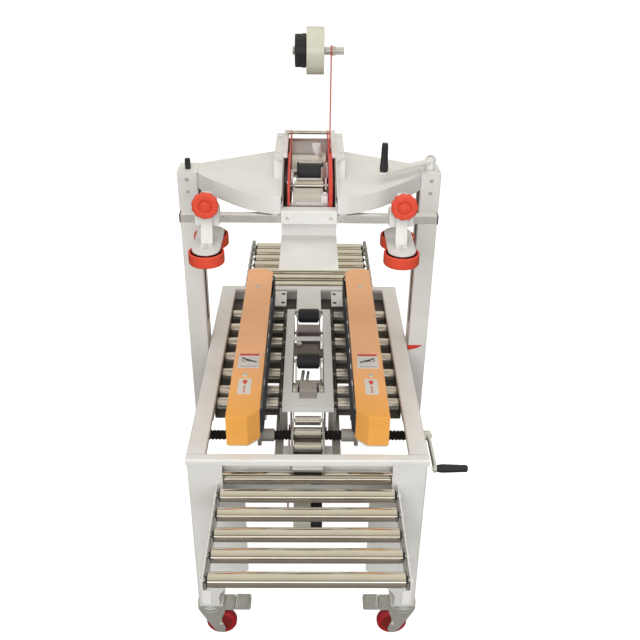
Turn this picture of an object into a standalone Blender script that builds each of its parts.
"""Side-belt carton sealer with a tape unit above and below the carton path.

Every length below is in millimetres and is turned into metres where a mesh is made.
The machine's own frame has x to the right from its centre plane, y backwards along the
carton path from the table's front edge, and z up from the table top.
The frame of the finished model is the centre of the machine's footprint on the floor.
"""

import math

import bmesh
import bpy
from mathutils import Matrix, Vector

MM = 0.001
GAP = 0.3
OBJECT_NAME = "carton_sealer"

# Overall
TABLE_HEIGHT = 721.0
TABLE_HALF_WIDTH = 335.0
TABLE_LENGTH = 1055.0
RAIL_WIDTH = 54.0
RAIL_DEPTH = 60.0
SHEET = 4.0
THIN = 3.0
LONG_BAR_X = (72.0, 98.0)
LONG_BAR_Z = (-125.0, -95.0)
UPRIGHTS_Y = (256.0, 820.0)

# Roller beds
ROLLER_RADIUS = 19.0
SHAFT_RADIUS = 5.0
SHAFT_BORE = 5.4
INFEED_ROLLERS_Y = (42.0, -33.0, -106.0, -181.0, -253.0, -331.0)
INFEED_ROLLER_Z = -96.0
INFEED_HALF = 246.0
INFEED_END = -352.0
OUTFEED_FIRST_Y = 1115.0
OUTFEED_PITCH = 64.5
OUTFEED_COUNT = 9
OUTFEED_HALF = 240.0
OUTFEED_END = 1655.0
INFEED_RAIL_X = (249.0, 253.0)
INFEED_RAIL_Z = (-170.0, -85.0)
BED_ROLLERS_Y = (330.0, 397.0, 497.0, 597.0, 697.0, 797.0, 897.0)
BED_ROLLER_Z = -45.0
BED_INNER = 86.0
BED_OUTER = 288.0
TRACK_ROLLERS_Y = (50.0, 114.0, 180.0, 243.0)
TRACK_ROLLER_RADIUS = 14.0

# Castors
CASTOR_X = 299.0
CASTOR_FRONT_Y = 37.0
CASTOR_TRAIL = 30.0
CASTOR_WHEEL_RADIUS = 48.0
CASTOR_WHEEL_HALF = 15.0
LEG_FOOT_Z = -573.0
CASTOR_RACE = 20.0

# Masts and lift
MAST_X = (341.0, 403.0)
MAST_Y = (622.0, 712.0)
MAST_Z = (-330.0, 603.0)
SCREW_X = 372.0
SCREW_Y = 667.0
LIFT_SCREW_RADIUS = 9.0
LIFT_ARM_REACH = (-153.0, -115.0)
LIFT_ARM_Z = 629.0

# Head beam
BEAM_TOP = 603.0
BEAM_BOTTOM = 550.0
HOUSING_HALF = 78.0
BAR_Y = 430.0
BAR_Z = 534.5
BAR_HALF_SIDE = 12.5
BAR_HALF_LENGTH = 368.0
ENTRY_PLATE_Z = 475.0

# Carton press units
PRESS_LEFT_X = -290.0
PRESS_RIGHT_X = 263.0
PRESS_KNOB_Z = 590.0
PRESS_KNOB_Y = 378.0
PRESS_KNOB_RADIUS = 39.0
PRESS_WHEEL_RADIUS = 51.0
PRESS_WHEELS_Y = (355.0, 482.0)
PRESS_WHEEL_Z = (428.0, 463.0)
PRESS_PLATE_HALF = 40.0
PRESS_POST_Y = (387.0, 407.0)

# Tape units: the lower one is drawn, and the upper one is turned over about the y axis
HEAD_ROLLER_RADIUS = 25.0
LOWER_ARMS = {"front": ((400.0, -80.0), (500.0, 5.0)), "rear": ((835.0, -85.0), (800.0, 8.0))}
UPPER_ARMS = {"front": ((478.0, -80.0), (545.0, 5.0)), "rear": ((830.0, -85.0), (762.0, 8.0))}
LOWER_CUTTER = (690.0, -75.0)
UPPER_CUTTER = (625.0, -70.0)
LOWER_OPENING_Y = (322.0, 848.0)
REEL_RADIUS = 65.0
LOWER_REEL = (64.0, -256.0)
UPPER_REEL = (651.0, 955.0)
REEL_SHAFT_RADIUS = 8.0

# Side belts
BELT_FRONT_Y = 118.0
BELT_REAR_Y = 922.0
BELT_AXIS_X = 163.0
BELT_RADIUS = 39.0
BELT_THICKNESS = 4.0
BELT_Z = (22.0, 97.0)
COVER_X = (133.0, 225.0)
COVER_Y = (52.0, 985.0)
COVER_Z = (10.0, 107.0)

# Width screw
WIDTH_SCREW_Y = 211.0
WIDTH_SCREW_Z = -75.0
WIDTH_SCREW_RADIUS = 15.5
CRANK_X = 356.0
CRANK_REACH = 152.0
GRIP_END_X = 455.0

# The footprint's centre in the machine's own frame
LEFT_REACH = -MAST_X[1]
RIGHT_REACH = GRIP_END_X
CENTRE_X = (LEFT_REACH + RIGHT_REACH) / 2
CENTRE_Y = (INFEED_END + OUTFEED_END) / 2


# ---------------------------------------------------------------- scene and materials

def clear_scene():
    for obj in list(bpy.data.objects):
        bpy.data.objects.remove(obj, do_unlink=True)


def new_collection(name, hidden=False):
    collection = bpy.data.collections.new(name)
    bpy.context.scene.collection.children.link(collection)
    collection.hide_render = hidden
    return collection


def material(name, colour, roughness, metallic):
    made = bpy.data.materials.new(name)
    made.use_nodes = True
    shader = made.node_tree.nodes["Principled BSDF"]
    shader.inputs["Base Color"].default_value = (*colour, 1.0)
    shader.inputs["Roughness"].default_value = roughness
    shader.inputs["Metallic"].default_value = metallic
    made.diffuse_color = (*colour, 1.0)
    return made


# ---------------------------------------------------------------- shapes

def helper(name, mesh, matrix=None):
    """A piece or a cutter in the machine's own frame, which is used up by fused()."""
    obj = bpy.data.objects.new(name, mesh)
    obj.hide_render = True
    obj.display_type = "WIRE"
    HELPERS.objects.link(obj)
    if matrix is not None:
        obj.matrix_world = matrix
    return obj


def box(x, y, z):
    """A box between two values on each axis."""
    spans = [sorted(span) for span in (x, y, z)]
    size = [(high - low) * MM for low, high in spans]
    middle = [(high + low) / 2 * MM for low, high in spans]
    mesh = bpy.data.meshes.new("box")
    shape = bmesh.new()
    bmesh.ops.create_cube(shape, size=1.0)
    bmesh.ops.scale(shape, vec=size, verts=shape.verts)
    bmesh.ops.translate(shape, vec=middle, verts=shape.verts)
    shape.to_mesh(mesh)
    shape.free()
    return helper("box", mesh)


def facing(axis):
    """The turn that takes the local z axis to this axis of the machine."""
    return {
        "x": Matrix.Rotation(math.radians(90), 4, "Y"),
        "y": Matrix.Rotation(math.radians(-90), 4, "X"),
        "z": Matrix.Identity(4),
    }[axis]


def rod(axis, centre, radius, span, sides=16):
    """A cylinder along an axis. centre is its place on the other two axes, in x, y, z order."""
    low, high = sorted(span)
    middle = list(centre)
    middle.insert("xyz".index(axis), (low + high) / 2)
    mesh = bpy.data.meshes.new("rod")
    shape = bmesh.new()
    bmesh.ops.create_cone(
        shape,
        cap_ends=True,
        segments=sides,
        radius1=radius * MM,
        radius2=radius * MM,
        depth=(high - low) * MM,
    )
    shape.to_mesh(mesh)
    shape.free()
    return helper("rod", mesh, Matrix.Translation(Vector(middle) * MM) @ facing(axis))


def turned(axis, centre, profile, sides=20):
    """A profile of (radius, place along the axis), from its high end down the outer side.

    A profile that ends on the axis is a solid, and any other is closed round a bore.
    """
    bored = profile[0][0] > 0
    mesh = bpy.data.meshes.new("turned")
    points = [(radius * MM, 0.0, along * MM) for radius, along in profile]
    edges = [(i, i + 1) for i in range(len(points) - 1)]
    if bored:
        edges.append((len(points) - 1, 0))
    mesh.from_pydata(points, edges, [])
    middle = list(centre)
    middle.insert("xyz".index(axis), 0.0)
    obj = helper("turned", mesh, Matrix.Translation(Vector(middle) * MM) @ facing(axis))
    screw = obj.modifiers.new("turn", "SCREW")
    screw.axis = "Z"
    screw.steps = sides
    screw.render_steps = sides
    screw.use_merge_vertices = True
    screw.merge_threshold = 0.00001
    return obj


def outline_mesh(points, thickness):
    """A flat outline in local x and y, thickened both ways along local z."""
    curve = bpy.data.curves.new("outline", "CURVE")
    curve.dimensions = "2D"
    curve.fill_mode = "BOTH"
    curve.extrude = thickness / 2 * MM
    spline = curve.splines.new("POLY")
    spline.points.add(len(points) - 1)
    for point, (first, second) in zip(spline.points, points):
        point.co = (first * MM, second * MM, 0.0, 1.0)
    spline.use_cyclic_u = True
    obj = bpy.data.objects.new("outline", curve)
    HELPERS.objects.link(obj)
    bpy.context.view_layer.update()
    graph = bpy.context.evaluated_depsgraph_get()
    mesh = bpy.data.meshes.new_from_object(obj.evaluated_get(graph))
    bpy.data.objects.remove(obj)
    shape = bmesh.new()
    shape.from_mesh(mesh)
    bmesh.ops.remove_doubles(shape, verts=shape.verts, dist=0.00001)
    bmesh.ops.recalc_face_normals(shape, faces=shape.faces)
    shape.to_mesh(mesh)
    shape.free()
    return mesh


def plate(axis, points, span):
    """An outline at right angles to an axis, between two values on it.

    The outline's points are (x, y) for axis z, (x, z) for axis y and (y, z) for axis x.
    """
    low, high = sorted(span)
    middle = (low + high) / 2 * MM
    matrix = {
        "x": Matrix(((0, 0, 1, middle), (1, 0, 0, 0), (0, 1, 0, 0), (0, 0, 0, 1))),
        "y": Matrix(((1, 0, 0, 0), (0, 0, -1, middle), (0, 1, 0, 0), (0, 0, 0, 1))),
        "z": Matrix.Translation((0, 0, middle)),
    }[axis]
    return helper("plate", outline_mesh(points, high - low), matrix)


def arc(centre, radius, start, end, steps):
    """Points on an arc, in degrees from the first axis of the outline."""
    found = []
    for i in range(steps + 1):
        angle = math.radians(start + (end - start) * i / steps)
        found.append((centre[0] + radius * math.cos(angle), centre[1] + radius * math.sin(angle)))
    return found


def bar_outline(start, end, half_width, steps=6):
    """A straight link with round ends about two points."""
    heading = math.degrees(math.atan2(end[1] - start[1], end[0] - start[0]))
    first = arc(start, half_width, heading + 90, heading + 270, steps)
    return first + arc(end, half_width, heading - 90, heading + 90, steps)


def mirrored(points, side):
    """An outline for the right side, turned over for the left."""
    return [(side * first, second) for first, second in points]


def across(side, span):
    """A span in x on the right side, turned over for the left."""
    return tuple(sorted(side * value for value in span))


def cut(obj):
    """Marks a shape as one that fused() takes away."""
    obj["cut"] = True
    return obj


def fused(name, look, parent, origin, shapes):
    """Unites the shapes in order, taking away the cuts, and makes the node at its origin."""
    base = shapes[0]
    for tool in shapes[1:]:
        modifier = base.modifiers.new("step", "BOOLEAN")
        modifier.operation = "DIFFERENCE" if tool.get("cut") else "UNION"
        modifier.solver = "EXACT"
        modifier.object = tool
    bpy.context.view_layer.update()
    graph = bpy.context.evaluated_depsgraph_get()
    mesh = bpy.data.meshes.new_from_object(base.evaluated_get(graph))
    mesh.transform(Matrix.Translation(-Vector(origin) * MM) @ base.matrix_world)
    for used in shapes:
        bpy.data.objects.remove(used)
    tidy_mesh(mesh)
    mesh.name = name
    mesh.materials.clear()
    mesh.materials.append(look)
    node = bpy.data.objects.new(name, mesh)
    PARTS.objects.link(node)
    hang(node, parent, origin)
    return node


def tidy_mesh(mesh):
    """Joins the flat pieces that a union leaves, and shades round surfaces smooth."""
    shape = bmesh.new()
    shape.from_mesh(mesh)
    bmesh.ops.remove_doubles(shape, verts=shape.verts, dist=0.000005)
    bmesh.ops.dissolve_limit(
        shape, angle_limit=0.002, verts=shape.verts, edges=shape.edges, delimit={"NORMAL"}
    )
    bmesh.ops.triangulate(shape, faces=shape.faces)
    shape.to_mesh(mesh)
    shape.free()
    mesh.shade_smooth()
    mesh.set_sharp_from_angle(angle=math.radians(35))


def hang(obj, parent, origin):
    """Parents an object and puts it at its place in the machine's own frame."""
    obj.parent = parent
    start = Vector(PLACES[parent.name]) if parent else Vector((0, 0, 0))
    obj.location = (Vector(origin) - start) * MM


def frame_empty(name, origin, parent=None):
    empty = bpy.data.objects.new(name, None)
    PARTS.objects.link(empty)
    PLACES[name] = origin
    hang(empty, parent, origin)
    return empty


# ---------------------------------------------------------------- table

def leg_outline():
    """A leg's plate, as (distance in from the corner, z)."""
    return [
        (0, -2), (96, -2), (96, -150), (151, -150),
        (151, -420), (63, -525), (63, LEG_FOOT_Z), (0, LEG_FOOT_Z),
    ]


def leg(side, rear):
    corner_x = side * TABLE_HALF_WIDTH
    corner_y = TABLE_LENGTH if rear else 0.0
    inward_y = -1 if rear else 1
    front_points = [(corner_x - side * inward, z) for inward, z in leg_outline()]
    side_points = [(corner_y + inward_y * inward, z) for inward, z in leg_outline()]
    foot_x = (corner_x, corner_x - side * 74)
    foot_y = (corner_y, corner_y + inward_y * 74)
    return [
        plate("y", front_points, (corner_y, corner_y + inward_y * SHEET)),
        plate("x", side_points, (corner_x, corner_x - side * SHEET)),
        box(foot_x, foot_y, (LEG_FOOT_Z - SHEET, LEG_FOOT_Z + 1)),
    ]


def table_end_shapes():
    """The front and rear of the table top, and the white plate behind the lower tape unit."""
    half = TABLE_HALF_WIDTH
    rear = TABLE_LENGTH
    return [
        box((-half, half), (0, 30), (-SHEET, 0)),
        box((-half, half), (0, SHEET), (-19, -1)),
        box((-half, half), (rear - 30, rear), (-SHEET, 0)),
        box((-half, half), (rear - SHEET, rear), (-RAIL_DEPTH, -1)),
        box((-half + 1, half - 1), (64, 68), (-165, -62)),
        box((-45, 45), (862, rear - 25), (-THIN, 0)),
        box((-LONG_BAR_X[1], LONG_BAR_X[1]), (66, 185), (LONG_BAR_Z[1] - THIN, LONG_BAR_Z[1])),
    ]


def table_side_shapes(side):
    """A side rail with its skirt, bosses and long inner bar, and the recessed plate at its rear."""
    half = TABLE_HALF_WIDTH
    rear = TABLE_LENGTH
    bar_inner = LONG_BAR_X[0]
    bar_low, bar_high = LONG_BAR_Z
    mast_pad = across(side, (half - 1, MAST_X[0] - GAP))
    shapes = [
        box(across(side, (half - RAIL_WIDTH, half)), (0, rear), (-SHEET, 0)),
        box(across(side, (half - SHEET, half)), (0, rear), (-RAIL_DEPTH, -1)),
        box(across(side, (half - 14, half - 1)), (182, 240), (-104, -50)),
        box(across(side, LONG_BAR_X), (65, rear - 2), LONG_BAR_Z),
        box(across(side, (300, half - 1)), (64, 68), (-100, -30)),
        box(across(side, LONG_BAR_X), (rear - SHEET, rear - 1), (bar_low + 1, -50)),
        box(across(side, (47, half - 1)), (926, rear - 1), (-RAIL_DEPTH, THIN - RAIL_DEPTH)),
        box(mast_pad, (MAST_Y[0] + 18, MAST_Y[1] - 18), (-40, -12)),
    ]
    for start in UPRIGHTS_Y:
        span = (start, start + 20)
        shapes.append(box(across(side, (62, bar_inner + 4)), span, (bar_low + 2, bar_high - 2)))
        shapes.append(box(across(side, (62, 84)), span, (bar_low + 3, -20 - GAP)))
    return shapes


def table_frame(parent):
    screw = (WIDTH_SCREW_Y, WIDTH_SCREW_Z)
    shapes = table_end_shapes()
    for side in (-1, 1):
        shapes += table_side_shapes(side)
        shapes += leg(side, False)
        shapes += leg(side, True)
    shapes.append(cut(rod("x", screw, WIDTH_SCREW_RADIUS + GAP, (-400, 400))))
    for side in (-1, 1):
        rail = (INFEED_RAIL_X[0] - 0.5, INFEED_RAIL_X[1] + 0.5)
        shapes.append(cut(box(across(side, rail), (-10, 14), (INFEED_RAIL_Z[0] - 1, INFEED_RAIL_Z[1] + 1))))
    return fused("table_frame", BODY_PAINT, parent, (0, 0, 0), shapes)


# ---------------------------------------------------------------- roller beds

def tube_profile(low, high, radius, bore):
    return [(bore, high), (radius, high), (radius, low), (bore, low)]


def infeed_frame(parent):
    """Two flat side rails, joined by the fixed shafts that the rollers turn on."""
    end = INFEED_END
    low, high = INFEED_RAIL_Z
    outer = INFEED_RAIL_X[1]
    outline = [(end, high), (60, high), (60, low), (end + 6, low), (end, low + 6)]
    shapes = [plate("x", outline, across(side, INFEED_RAIL_X)) for side in (-1, 1)]
    for y in INFEED_ROLLERS_Y:
        shaft = rod("x", (y, INFEED_ROLLER_Z), SHAFT_RADIUS, (-outer - 4, outer + 4), 10)
        shapes.append(shaft)
    return fused("infeed_frame", BODY_PAINT, parent, (0, end, INFEED_ROLLER_Z), shapes)


def infeed_roller(number, y, parent):
    place = (y, INFEED_ROLLER_Z)
    tube = turned("x", place, tube_profile(-INFEED_HALF, INFEED_HALF, ROLLER_RADIUS, SHAFT_BORE), 14)
    return fused(f"infeed_roller_{number}", CHROME, parent, (0, *place), [tube])


def outfeed_bed(parent):
    """The outfeed's side rails with its nine rollers on them."""
    shapes = []
    for side in (-1, 1):
        span = across(side, (OUTFEED_HALF + 4, OUTFEED_HALF + 22))
        shapes.append(box(span, (TABLE_LENGTH + GAP, OUTFEED_END), (-150, -70)))
        inside = across(side, (OUTFEED_HALF + 2, OUTFEED_HALF + 19))
        shapes.append(cut(box(inside, (TABLE_LENGTH + 5, OUTFEED_END - 5), (-146, -74))))
    for i in range(OUTFEED_COUNT):
        place = (OUTFEED_FIRST_Y + i * OUTFEED_PITCH, INFEED_ROLLER_Z)
        shapes.append(rod("x", place, ROLLER_RADIUS, (-OUTFEED_HALF, OUTFEED_HALF), 12))
        shapes.append(rod("x", place, SHAFT_RADIUS, (-OUTFEED_HALF - 20, OUTFEED_HALF + 20), 6))
    return fused("outfeed_bed", CHROME, parent, (0, TABLE_LENGTH, INFEED_ROLLER_Z), shapes)


def bed_rollers(name, side, parent):
    """One side's bank of short rollers, between an inner strip and an outer angle."""
    strip_y = (BED_ROLLERS_Y[0] - 26, BED_ROLLERS_Y[-1] + 26)
    shapes = [
        box(across(side, (BED_INNER, BED_INNER + THIN)), strip_y, (-70, -30)),
        box(across(side, (BED_OUTER - THIN, BED_OUTER)), strip_y, (-82, -30)),
        box(across(side, (BED_OUTER - 34, BED_OUTER)), strip_y, (-82, -79)),
    ]
    for y in BED_ROLLERS_Y:
        span = across(side, (BED_INNER + 6, BED_OUTER - 6))
        shapes.append(rod("x", (y, BED_ROLLER_Z), ROLLER_RADIUS, span, 12))
        span = across(side, (BED_INNER + 1, BED_OUTER - 1))
        shapes.append(rod("x", (y, BED_ROLLER_Z), SHAFT_RADIUS, span, 6))
    return fused(name, CHROME, parent, (side * BED_INNER, BED_ROLLERS_Y[0], BED_ROLLER_Z), shapes)


def centre_roller_track(parent):
    """Small rollers between two thin plates, ahead of the lower tape unit."""
    shapes = []
    for side in (-1, 1):
        shapes.append(box(across(side, (42, 45)), (28 + GAP, 264), (-58, -28)))
    for y in TRACK_ROLLERS_Y:
        shapes.append(rod("x", (y, BED_ROLLER_Z), TRACK_ROLLER_RADIUS, (-40, 40), 12))
        shapes.append(rod("x", (y, BED_ROLLER_Z), SHAFT_RADIUS, (-44, 44), 6))
    return fused("centre_roller_track", CHROME, parent, (0, 28, BED_ROLLER_Z), shapes)


# ---------------------------------------------------------------- castors

def castor(name, side, y, parent):
    """A swivel fork on its plate and a wheel that trails inwards."""
    swivel_x = side * CASTOR_X
    swivel = frame_empty(f"{name}_swivel", (swivel_x, y, LEG_FOOT_Z), parent)
    wheel_x = side * (CASTOR_X - CASTOR_TRAIL)
    wheel_z = CASTOR_WHEEL_RADIUS - TABLE_HEIGHT
    top = LEG_FOOT_Z - SHEET - GAP
    inner = CASTOR_WHEEL_HALF + 1
    heel = swivel_x + side * 34
    cheek = arc((wheel_x, wheel_z), 14, 0, 330, 11)
    crown = top - CASTOR_RACE
    cheek = hull_outline([*cheek, (wheel_x - side * 14, crown + 4), (heel, crown + 4), (heel, crown - 2)])
    pedal = [
        (wheel_x - side * 10, top - 12),
        (wheel_x - side * 58, top - 4),
        (wheel_x - side * 98, top - 20),
        (wheel_x - side * 98, top - 26),
        (wheel_x - side * 56, top - 12),
        (wheel_x - side * 10, top - 18),
    ]
    shapes = [
        rod("z", (swivel_x, y), 42, (crown, top), 18),
        plate("y", cheek, (y - inner - THIN, y - inner)),
        plate("y", cheek, (y + inner, y + inner + THIN)),
        box((wheel_x - side * 14, swivel_x), (y - inner - THIN, y + inner + THIN), (crown, crown + 5)),
        plate("y", pedal, (y - inner - 2, y + inner + 2)),
        rod("y", (wheel_x, wheel_z), SHAFT_RADIUS + 1, (y - inner - 7, y + inner + 7), 10),
    ]
    fused(f"{name}_fork", ZINC, swivel, (swivel_x, y, LEG_FOOT_Z), shapes)
    half = CASTOR_WHEEL_HALF
    rim = [
        (SHAFT_BORE + 1, half),
        (40, half),
        (CASTOR_WHEEL_RADIUS, half - 6),
        (CASTOR_WHEEL_RADIUS, 6 - half),
        (40, -half),
        (SHAFT_BORE + 1, -half),
    ]
    wheel = turned("y", (wheel_x, wheel_z), rim, 18)
    slide_along(wheel, "y", y)
    fused(f"{name}_wheel", CASTOR_RED, swivel, (wheel_x, y, wheel_z), [wheel])


def hull_outline(points):
    """The convex outline round a set of points."""
    ordered = sorted(set(points))
    chains = []
    for run in (ordered, ordered[::-1]):
        chain = []
        for point in run:
            while len(chain) > 1 and turn(chain[-2], chain[-1], point) <= 0:
                chain.pop()
            chain.append(point)
        chains.append(chain[:-1])
    return chains[0] + chains[1]


def turn(a, b, c):
    """Positive where the path a, b, c turns left."""
    return (b[0] - a[0]) * (c[1] - a[1]) - (b[1] - a[1]) * (c[0] - a[0])


def slide_along(obj, axis, distance):
    """Moves a shape along an axis."""
    step = [0.0, 0.0, 0.0]
    step["xyz".index(axis)] = distance * MM
    obj.matrix_world = Matrix.Translation(step) @ obj.matrix_world


# ---------------------------------------------------------------- masts and lift

def mast(name, side, parent):
    """A square tube with a long slot in its inner face."""
    wall = THIN
    shapes = [
        box(across(side, MAST_X), MAST_Y, MAST_Z),
        cut(
            box(
                across(side, (MAST_X[0] + wall, MAST_X[1] - wall)),
                (MAST_Y[0] + wall, MAST_Y[1] - wall),
                (MAST_Z[0] - 1, MAST_Z[1] - wall),
            )
        ),
        cut(box(across(side, (MAST_X[0] - 1, MAST_X[0] + wall + 1)), (644, 690), (60, MAST_Z[1] - wall))),
    ]
    if side > 0:
        shapes.append(cut(rod("z", (SCREW_X, SCREW_Y), LIFT_SCREW_RADIUS + GAP, (590, 610), 16)))
    else:
        cap = [(0, 636), (6, 634), (9, 628), (9, 601), (0, 601)]
        shapes.append(turned("z", (-SCREW_X, SCREW_Y - 14), cap, 14))
    return fused(name, BODY_PAINT, parent, (side * MAST_X[0], MAST_Y[0], 0), shapes)


def lift_screw(name, side, parent, top):
    shaft = rod("z", (side * SCREW_X, SCREW_Y), LIFT_SCREW_RADIUS, (MAST_Z[0] + 10, top), 16)
    return fused(name, STEEL, parent, (side * SCREW_X, SCREW_Y, 0), [shaft])


def lift_crank(parent):
    """The flat arm on top of the right lift screw, with the pin that its grip turns on."""
    start = (SCREW_X, SCREW_Y)
    end = (start[0] + LIFT_ARM_REACH[0], start[1] + LIFT_ARM_REACH[1])
    low, high = LIFT_ARM_Z - 4, LIFT_ARM_Z + 4
    shapes = [
        plate("z", bar_outline(start, end, 13), (low, high)),
        rod("z", start, 16, (604, 640), 16),
        rod("z", end, SHAFT_RADIUS, (low + 1, 720), 10),
        cut(rod("z", start, LIFT_SCREW_RADIUS + GAP, (590, 646), 16)),
    ]
    fused("lift_crank", BODY_PAINT, parent, (*start, LIFT_ARM_Z), shapes)
    bottom = high + GAP
    top = bottom + 86
    grip = [
        (SHAFT_BORE, top),
        (7, top),
        (9, top - 4),
        (9.5, top - 30),
        (13, bottom + 12),
        (12, bottom),
        (SHAFT_BORE, bottom),
    ]
    fused("lift_crank_grip", BLACK_PLASTIC, parent, (*end, LIFT_ARM_Z), [turned("z", end, grip, 16)])


# ---------------------------------------------------------------- head beam

def wing(side):
    """The swept plan of one wing and a smaller one that hollows it from below."""
    outer = [(340.7, 615), (246, 511), (172, 444), (106, 415), (74, 415), (74, 860), (81, 860), (340.7, 712)]
    inner = [(337, 618), (244, 515), (170, 448), (105, 419), (78, 419), (78, 856), (337, 709)]
    return [
        plate("z", mirrored(outer, side), (BEAM_BOTTOM, BEAM_TOP)),
        cut(plate("z", mirrored(inner, side), (BEAM_BOTTOM - 1, BEAM_TOP - THIN))),
    ]


def head_beam(parent):
    """Two hollow wings, the housing of the upper tape unit between them and the entry plate."""
    half = HOUSING_HALF
    cheek = [(415, BEAM_TOP - 2), (860, BEAM_TOP - 2), (860, 672), (560, 658), (415, BEAM_TOP + 4)]
    flange = [(half + 1, 570), (106, 600), (106, 858), (half + 1, 858)]
    shapes = wing(-1) + wing(1)
    for side in (-1, 1):
        shapes.append(plate("x", cheek, across(side, (half, half + THIN))))
        shapes.append(plate("z", mirrored(flange, side), (655, 658)))
        shapes.append(box(across(side, (330, 357)), (650, 684), (562, 596)))
        shapes.append(box(across(side, (352, 390)), (648, 686), (560, 598)))
        shapes.append(cut(rod("z", (side * SCREW_X, SCREW_Y), LIFT_SCREW_RADIUS + GAP, (550, 610), 16)))
    shapes += [
        box((-half - 2, half + 2), (409, 412), (523, 562)),
        box((-half - 2, half + 2), (410, 446), (559, 562)),
        box((-half - 2, half + 2), (443, 446), (ENTRY_PLATE_Z - 3, 561)),
        box((-half - 2, half + 2), (214, 445), (ENTRY_PLATE_Z - 3, ENTRY_PLATE_Z)),
        box((-half - 2, half + 2), (857, 860), (BEAM_BOTTOM, 640)),
    ]
    return fused("head_beam", BODY_PAINT, parent, (0, BAR_Y, BAR_Z), shapes)


def guide_bar(parent):
    """The square bar along the front of the head, with a cap on each end."""
    half = BAR_HALF_SIDE
    cap = BAR_HALF_SIDE + 1
    length = BAR_HALF_LENGTH
    shapes = [box((-length, length), (BAR_Y - half, BAR_Y + half), (BAR_Z - half, BAR_Z + half))]
    for side in (-1, 1):
        span = across(side, (length - 8, length + 2))
        shapes.append(box(span, (BAR_Y - cap, BAR_Y + cap), (BAR_Z - cap, BAR_Z + cap)))
    return fused("guide_bar", CHROME, parent, (0, BAR_Y, BAR_Z), shapes)


def star_outline(centre, radius, lobes):
    """A lobed knob's outline."""
    count = lobes * 5
    points = []
    for i in range(count):
        angle = 2 * math.pi * i / count
        reach = radius * (0.9 + 0.1 * math.cos(lobes * angle))
        points.append((centre[0] + reach * math.cos(angle), centre[1] + reach * math.sin(angle)))
    return points


def press_unit(word, x, head):
    """A bracket on the guide bar with a clamp knob and two ring wheels."""
    unit = frame_empty(f"press_{word}", (x, BAR_Y, BAR_Z), head)
    hole = BAR_HALF_SIDE + 0.5
    wheel_low, wheel_high = PRESS_WHEEL_Z
    oblong = bar_outline((x, PRESS_WHEELS_Y[0]), (x, PRESS_WHEELS_Y[1]), PRESS_PLATE_HALF)
    shapes = [
        box((x - 35, x + 35), (406, 450), (513, 566)),
        box((x - 18, x + 18), (406, 430), (560, 612)),
        box((x - 15, x + 15), PRESS_POST_Y, (wheel_high + 7, 566)),
        plate("z", oblong, (wheel_high + 1.5, wheel_high + 8)),
        cut(box((x - 50, x + 50), (BAR_Y - hole, BAR_Y + hole), (BAR_Z - hole, BAR_Z + hole))),
        rod("y", (x, PRESS_KNOB_Z), SHAFT_RADIUS, (PRESS_KNOB_Y - 10, 410), 10),
    ]
    for y in PRESS_WHEELS_Y:
        shapes.append(rod("z", (x, y), SHAFT_RADIUS + 1, (wheel_low - 2, wheel_high + 2), 10))
    fused(f"press_bracket_{word}", BODY_PAINT, unit, (x, BAR_Y, BAR_Z), shapes)
    star = star_outline((x, PRESS_KNOB_Z), PRESS_KNOB_RADIUS, 7)
    knob = [
        plate("y", star, (PRESS_KNOB_Y - 14, PRESS_KNOB_Y + 8)),
        rod("y", (x, PRESS_KNOB_Z), 17, (PRESS_KNOB_Y - 20, PRESS_KNOB_Y + 26), 14),
        cut(rod("y", (x, PRESS_KNOB_Z), SHAFT_BORE, (PRESS_KNOB_Y - 12, PRESS_KNOB_Y + 40), 10)),
    ]
    fused(f"press_knob_{word}", RED_PLASTIC, unit, (x, PRESS_KNOB_Y, PRESS_KNOB_Z), knob)
    for place, y in zip(("front", "rear"), PRESS_WHEELS_Y):
        outer = PRESS_WHEEL_RADIUS
        ring = [
            (SHAFT_BORE + 1, wheel_high),
            (15, wheel_high),
            (15, wheel_low + 10),
            (outer - 7, wheel_low + 10),
            (outer - 6, wheel_high),
            (outer, wheel_high),
            (outer, wheel_low),
            (SHAFT_BORE + 1, wheel_low),
        ]
        wheel = turned("z", (x, y), ring, 18)
        fused(f"press_wheel_{word}_{place}", RED_PLASTIC, unit, (x, y, wheel_low), [wheel])


# ---------------------------------------------------------------- tape units

class Flip:
    """Places a tape unit's shapes: as drawn for the lower one, turned over for the upper one."""

    def __init__(self, upper):
        self.sign = -1 if upper else 1
        self.rise = ENTRY_PLATE_Z if upper else 0.0
        self.word = "upper" if upper else "lower"
        self.arms = UPPER_ARMS if upper else LOWER_ARMS
        self.cutter = UPPER_CUTTER if upper else LOWER_CUTTER

    def x(self, span):
        return tuple(sorted(self.sign * value for value in span))

    def z(self, value):
        return self.rise + self.sign * value

    def zs(self, span):
        return tuple(sorted(self.z(value) for value in span))

    def yz(self, point):
        return (point[0], self.z(point[1]))


def tape_arm(flip, place, parent):
    """Two side bars on a pivot tube, which carry a rubber roller."""
    start, end = (flip.yz(point) for point in flip.arms[place])
    shapes = [rod("x", start, 9, (-43, 43), 14)]
    for side in (-1, 1):
        shapes.append(plate("x", bar_outline(start, end, 10, 4), across(side, (38, 42))))
    shapes.append(rod("x", end, SHAFT_RADIUS, (-41, 41), 10))
    shapes.append(cut(rod("x", start, SHAFT_BORE, (-50, 50), 10)))
    arm = frame_empty(f"{flip.word}_{place}_arm_pivot", (0, *start), parent)
    fused(f"{flip.word}_{place}_arm", STEEL, arm, (0, *start), shapes)
    tube = turned("x", end, tube_profile(-35, 35, HEAD_ROLLER_RADIUS, SHAFT_BORE), 20)
    fused(f"{flip.word}_{place}_roller", RUBBER, arm, (0, *end), [tube])


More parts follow.
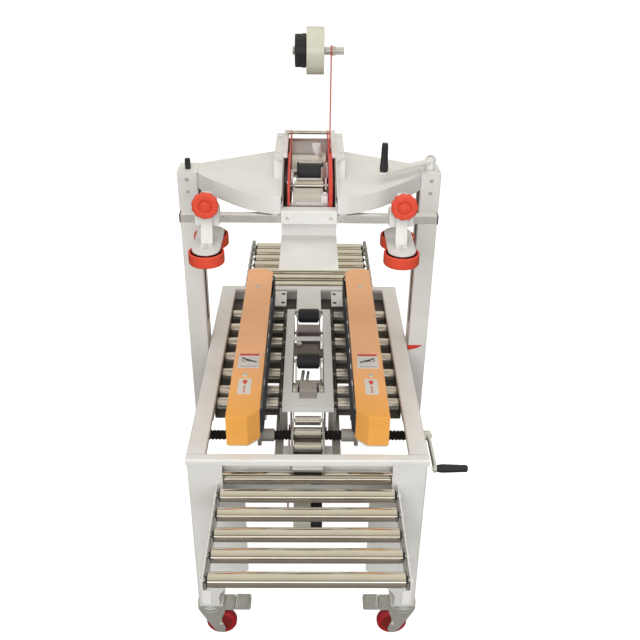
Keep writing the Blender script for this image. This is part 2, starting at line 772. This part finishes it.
def cutter(flip, parent):
    """The serrated cutter's holder and guard on its pivot."""
    y, z = flip.cutter
    start = flip.yz(flip.cutter)
    side_span = flip.zs((z - 2, z + 84))
    shapes = [
        rod("x", start, 9, (-43, 43), 14),
        box((-40, 40), (y + 9, y + 15), flip.zs((z - 2, z + 88))),
        box((-40, 40), (y - 7, y + 36), flip.zs((z + 80, z + 88))),
        box((-42, -38), (y - 7, y + 34), side_span),
        box((38, 42), (y - 7, y + 34), side_span),
        cut(rod("x", start, SHAFT_BORE, (-50, 50), 10)),
    ]
    fused(f"{flip.word}_cutter", STEEL, parent, (0, *start), shapes)


def pivot_rods(flip, reach):
    return [
        rod("x", flip.yz(pivot), SHAFT_RADIUS, (-reach, reach), 10)
        for pivot in (flip.arms["front"][0], flip.arms["rear"][0], flip.cutter)
    ]


def lower_head_frame(parent):
    """The white frame level with the table, its side plates and the pivots."""
    shapes = [
        box((-HOUSING_HALF, HOUSING_HALF), (250, 858), (-20, 3)),
        cut(box((-HOUSING_HALF + THIN, HOUSING_HALF - THIN), (253, 855), (-25, 0))),
        cut(box((-50, 50), LOWER_OPENING_Y, (-30, 10))),
    ]
    for side in (-1, 1):
        shapes.append(box(across(side, (51, 54)), (262, 856), (-140, 1)))
    shapes += pivot_rods(LOWER, 52)
    shapes.append(rod("x", (300, -120), 6, (-52, 52), 10))
    shapes.append(rod("x", (560, -128), 6, (-52, 52), 10))
    shapes.append(box((-30, 30), (316, 372), (1, 16)))
    shapes.append(box((-30, 30), (295, 318), (1, 4)))
    shapes.append(cut(box((-31, 31), (319, 400), (-9, 12))))
    shapes += lower_reel_arm()
    return fused("lower_head_frame", BODY_PAINT, parent, (0, 250, 0), shapes)


def lower_reel_arm():
    """The arm that hangs below the lower unit and carries the reel's shaft."""
    return [
        rod("x", (300, -120), 6, (-60, -50), 10),
        plate("x", bar_outline(LOWER_REEL, (300, -120), 14), (-60, -56)),
        rod("x", LOWER_REEL, REEL_SHAFT_RADIUS, (-80, 50), 12),
    ]


def upper_head_frame(parent):
    """Two red side plates, joined by the cross rods and guide rollers between them."""
    outline = [
        (450, 481), (450, 600), (520, 650), (620, 676),
        (760, 690), (838, 676), (850, 640), (850, 481),
    ]
    shapes = []
    for side in (-1, 1):
        shapes.append(plate("x", outline, across(side, (56, 59))))
    shapes += pivot_rods(UPPER, 57)
    shapes.append(rod("x", (600, 616), 17, (-57, 57), 14))
    shapes.append(rod("x", (541, 592), 14, (-57, 57), 14))
    shapes.append(rod("x", (800, 676), 6, (-74, 57), 10))
    shapes.append(box((-58, 58), (451, 454), (500, 555)))
    return fused("upper_head_frame", RED_PAINT, parent, (0, 450, ENTRY_PLATE_Z), shapes)


def upper_reel_arm(parent):
    """The tall red arm with the steel reel shaft and its nuts."""
    shapes = [
        plate("x", bar_outline((651, 640), UPPER_REEL, 16), (59 + GAP, 62.5)),
        rod("x", UPPER_REEL, REEL_SHAFT_RADIUS, (-48, 94), 12),
        rod("x", UPPER_REEL, 13, (70, 78), 6),
        rod("x", UPPER_REEL, 13, (82, 90), 6),
    ]
    return fused("upper_reel_arm", RED_PAINT, parent, (61, *UPPER_REEL), shapes)


def tape_roll(flip, centre, parent):
    """The tape on its hub, turning together on the reel's shaft."""
    low, high = (-10, 40) if flip.word == "upper" else (-40, 10)
    hub_low, hub_high = (-43, low + 1) if flip.word == "upper" else (high - 1, 43)
    shapes = [
        turned("x", centre, tube_profile(low, high, REEL_RADIUS, REEL_SHAFT_RADIUS + GAP), 20),
        turned("x", centre, tube_profile(hub_low, hub_high, 46, REEL_SHAFT_RADIUS + GAP), 20),
    ]
    fused(f"{flip.word}_tape_roll", TAPE, parent, (0, *centre), shapes)


# ---------------------------------------------------------------- side belts

def stadium(side, radius):
    """The plan of a belt round its two pulleys."""
    x = side * BELT_AXIS_X
    front = arc((x, BELT_FRONT_Y), radius, 180, 360, 12)
    return front + arc((x, BELT_REAR_Y), radius, 0, 180, 12)


def belt_unit(word, side, machine):
    unit = frame_empty(f"belt_unit_{word}", (side * COVER_X[0], WIDTH_SCREW_Y, WIDTH_SCREW_Z), machine)
    inner, outer = COVER_X
    front, rear = COVER_Y
    outline = [
        (inner + 34, front), (outer, front), (outer, rear - 12), (outer - 12, rear),
        (inner + 26, rear), (inner, rear - 30), (inner, front + 34),
    ]
    cavity = [
        (inner + 35.5, front + THIN), (outer - THIN, front + THIN), (outer - THIN, rear - 13.5),
        (outer - 13.5, rear - THIN), (inner + 27.5, rear - THIN), (inner + 2, rear - 31.5),
        (inner - 30, rear - 32), (inner - 30, front + 36), (inner + 2, front + 35.5),
    ]
    shapes = [
        plate("z", mirrored(outline, side), COVER_Z),
        cut(plate("z", mirrored(cavity, side), (COVER_Z[0] - 1, COVER_Z[1] - THIN))),
    ]
    fused(f"belt_cover_{word}", ORANGE_PAINT, unit, (side * inner, front, COVER_Z[0]), shapes)
    belt_low, belt_high = BELT_Z
    shapes = [
        plate("z", stadium(side, BELT_RADIUS), BELT_Z),
        cut(plate("z", stadium(side, BELT_RADIUS - BELT_THICKNESS), (belt_low - 1, belt_high + 1))),
    ]
    belt_origin = (side * BELT_AXIS_X, BELT_FRONT_Y, belt_low)
    fused(f"side_belt_{word}", BELT_RUBBER, unit, belt_origin, shapes)
    belt_carriage(word, side, unit)


def belt_carriage(word, side, unit):
    """The pulleys and beam inside a belt, the base under the cover and the nut on the width screw."""
    belt_low, belt_high = BELT_Z
    pulley = BELT_RADIUS - BELT_THICKNESS - GAP
    screw = (WIDTH_SCREW_Y, WIDTH_SCREW_Z)
    base = [(168, 57), (221, 57), (221, 974), (164, 978), (137, 950), (137, 88)]
    shapes = [
        box(across(side, (148, 178)), (BELT_FRONT_Y, BELT_REAR_Y), (belt_low + 2, belt_high - 2)),
        rod("z", (side * BELT_AXIS_X, BELT_FRONT_Y), pulley, (belt_low + 1, belt_high - 1), 20),
        rod("z", (side * BELT_AXIS_X, BELT_REAR_Y), pulley, (belt_low + 1, belt_high - 1), 20),
        box(across(side, (155, 171)), (150, 900), (6, belt_low + 4)),
        plate("z", mirrored(base, side), (3, COVER_Z[0] - GAP)),
        box(across(side, (138, 150)), (186, 236), (-100, 5)),
        rod("x", screw, 19, across(side, (100, 139)), 18),
        box(across(side, (138, 150)), (900, 1016), (-7, 5)),
        box(across(side, (84, 139)), (896, 1016), (-7, -3)),
        cut(rod("x", screw, WIDTH_SCREW_RADIUS + GAP, (-240, 240), 16)),
    ]
    for y in (920, 990):
        shapes.append(cut(rod("z", (side * 96, y), 6, (-12, 2), 12)))
    fused(f"belt_carriage_{word}", STEEL, unit, (side * COVER_X[0], *screw), shapes)


def width_drive(machine):
    """The lead screw across the table and its crank with a turning grip."""
    screw = (WIDTH_SCREW_Y, WIDTH_SCREW_Z)
    drive = frame_empty("width_drive", (0, *screw), machine)
    shapes = [
        rod("x", screw, WIDTH_SCREW_RADIUS, (-344, 340), 16),
        rod("x", screw, 8, (338, CRANK_X + 5), 14),
    ]
    fused("width_screw", BLACK_STEEL, drive, (0, *screw), shapes)
    handle = (WIDTH_SCREW_Y - CRANK_REACH, WIDTH_SCREW_Z)
    shapes = [
        plate("x", bar_outline(screw, handle, 12), (CRANK_X + 2, CRANK_X + 10)),
        rod("x", screw, 15, (CRANK_X - 12, CRANK_X + 12), 16),
        rod("x", handle, SHAFT_RADIUS, (CRANK_X + 9, GRIP_END_X - 8), 10),
        cut(rod("x", screw, 8 + GAP, (CRANK_X - 20, CRANK_X + 5 + GAP), 14)),
    ]
    fused("width_crank", ZINC, drive, (CRANK_X, *screw), shapes)
    start = CRANK_X + 10 + GAP
    grip = [
        (0, GRIP_END_X),
        (8, GRIP_END_X - 2),
        (10, GRIP_END_X - 6),
        (12.5, start + 16),
        (11, start),
        (SHAFT_BORE, start),
        (SHAFT_BORE, GRIP_END_X - 7),
        (0, GRIP_END_X - 7),
    ]
    tube = turned("x", handle, grip, 16)
    fused("width_crank_grip", BLACK_PLASTIC, drive, (start, *handle), [tube])


# ---------------------------------------------------------------- assembly

clear_scene()
PARTS = new_collection(OBJECT_NAME)
HELPERS = new_collection("cutters", hidden=True)
PLACES = {}
UPPER = Flip(True)
LOWER = Flip(False)

BODY_PAINT = material("body_paint", (0.78, 0.77, 0.74), 0.42, 0.0)
ORANGE_PAINT = material("orange_paint", (0.86, 0.38, 0.08), 0.4, 0.0)
RED_PAINT = material("red_paint", (0.62, 0.07, 0.05), 0.4, 0.0)
RED_PLASTIC = material("red_plastic", (0.72, 0.1, 0.05), 0.45, 0.0)
CASTOR_RED = material("castor_red", (0.4, 0.04, 0.04), 0.5, 0.0)
CHROME = material("chrome", (0.8, 0.79, 0.77), 0.15, 1.0)
STEEL = material("steel", (0.6, 0.6, 0.6), 0.35, 1.0)
ZINC = material("zinc", (0.62, 0.63, 0.65), 0.35, 1.0)
BLACK_STEEL = material("black_steel", (0.03, 0.03, 0.035), 0.4, 0.6)
BLACK_PLASTIC = material("black_plastic", (0.02, 0.02, 0.02), 0.45, 0.0)
RUBBER = material("rubber", (0.02, 0.02, 0.02), 0.7, 0.0)
BELT_RUBBER = material("belt_rubber", (0.02, 0.022, 0.04), 0.75, 0.0)
TAPE = material("tape", (0.82, 0.78, 0.62), 0.3, 0.0)


def build():
    machine = frame_empty("machine", (0, 0, 0))
    machine.location = Vector((-CENTRE_X, -CENTRE_Y, TABLE_HEIGHT)) * MM
    table_frame(machine)
    infeed_frame(machine)
    for number, y in enumerate(INFEED_ROLLERS_Y, start=1):
        infeed_roller(number, y, machine)
    outfeed_bed(machine)
    bed_rollers("bed_rollers_left", -1, machine)
    bed_rollers("bed_rollers_right", 1, machine)
    centre_roller_track(machine)
    for row, y in (("front", CASTOR_FRONT_Y), ("rear", TABLE_LENGTH - CASTOR_FRONT_Y)):
        castor(f"castor_{row}_left", -1, y, machine)
        castor(f"castor_{row}_right", 1, y, machine)
    mast("mast_left", -1, machine)
    mast("mast_right", 1, machine)
    lift_screw("lift_screw_left", -1, machine, 594)
    lift_screw("lift_screw_right", 1, machine, 644)
    lift_crank(machine)
    lower_head_frame(machine)
    tape_arm(LOWER, "front", machine)
    tape_arm(LOWER, "rear", machine)
    cutter(LOWER, machine)
    tape_roll(LOWER, LOWER_REEL, machine)
    head = frame_empty("head_lift", (0, BAR_Y, BAR_Z), machine)
    head_beam(head)
    guide_bar(head)
    press_unit("left", PRESS_LEFT_X, head)
    press_unit("right", PRESS_RIGHT_X, head)
    upper_head_frame(head)
    upper_reel_arm(head)
    tape_arm(UPPER, "front", head)
    tape_arm(UPPER, "rear", head)
    cutter(UPPER, head)
    tape_roll(UPPER, UPPER_REEL, head)
    belt_unit("left", -1, machine)
    belt_unit("right", 1, machine)
    width_drive(machine)


build()
